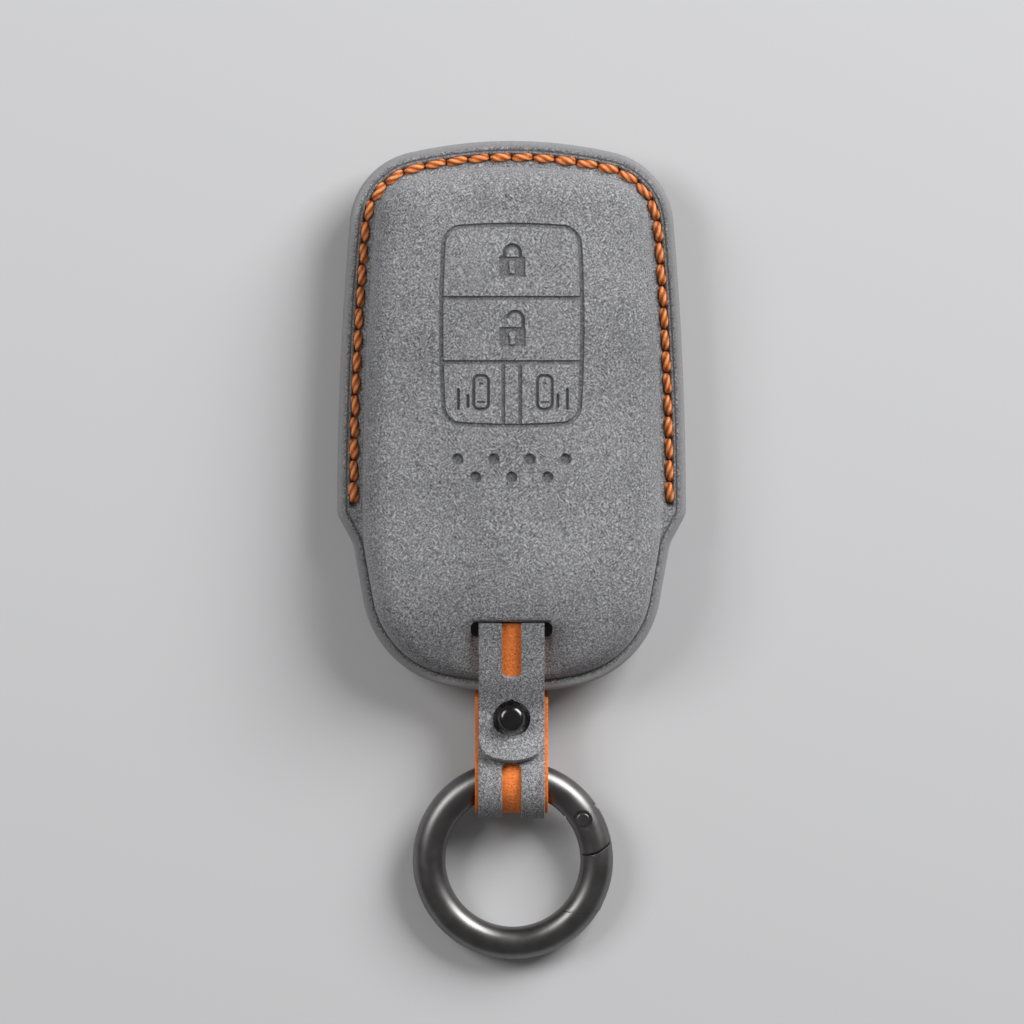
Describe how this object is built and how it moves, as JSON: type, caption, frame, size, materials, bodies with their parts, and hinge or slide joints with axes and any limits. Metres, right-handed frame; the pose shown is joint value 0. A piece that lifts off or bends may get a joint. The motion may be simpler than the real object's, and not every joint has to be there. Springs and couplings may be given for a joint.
{
  "type": "key fob cover",
  "caption": "Moulded suede cover for a car key fob, sewn round an inverted-U seam, with a button-down strap that carries a spring-gate ring.",
  "frame": {"origin": "middle of the cover's flat back, on the plane it lies on", "axes": "+X across the cover, +Y towards its sewn end, +Z out of its front; the strap and ring hang along -Y"},
  "size_m": [0.052, 0.1221, 0.0165],
  "materials": {
    "suede": "brushed suede nap with smooth painted edges",
    "pocket_lining": "smooth microfibre",
    "thread": "waxed twisted thread",
    "strap_lining": "fine-grained dyed leather",
    "black_nickel": "polished black plating",
    "gunmetal": "satin gunmetal plating on zinc alloy",
    "spring_steel": "plain spring wire"
  },
  "bodies": {
    "case": {"front_shell": "suede", "front_lining": "pocket_lining", "back_shell": "suede", "back_lining": "pocket_lining", "front_thread": "thread", "back_thread": "thread", "strap_suede": "suede", "strap_lining": "strap_lining", "ball_stud": "black_nickel", "stud_screw": "black_nickel"},
    "tab": {"tab_suede": "suede", "tab_lining": "strap_lining"},
    "ring": {"ring_body": "gunmetal", "gate_pin": "gunmetal", "gate_spring": "spring_steel"},
    "gate": {"ring_gate": "gunmetal"}
  },
  "joints": [
    {"name": "tab_lift", "type": "hinge", "parent": "case", "child": "tab", "pos_m": [0, -0.03121, 0.01398], "axis": [-1, 0, 0], "range_deg": [0, 120]},
    {"name": "ring_swing", "type": "hinge", "parent": "case", "child": "ring", "pos_m": [0.0002, -0.0543, 0.00525], "axis": [-1, 0, 0], "range_deg": [-110, 110]},
    {"name": "gate_swing", "type": "hinge", "parent": "ring", "child": "gate", "pos_m": [0.01066, -0.05986, 0.00461], "axis": [0, 0.1141, -0.9935], "range_deg": [0, 28], "stiffness_Nm_per_rad": 0.006, "springref_deg": -17.19, "deforming": ["gate_spring"]}
  ]
}
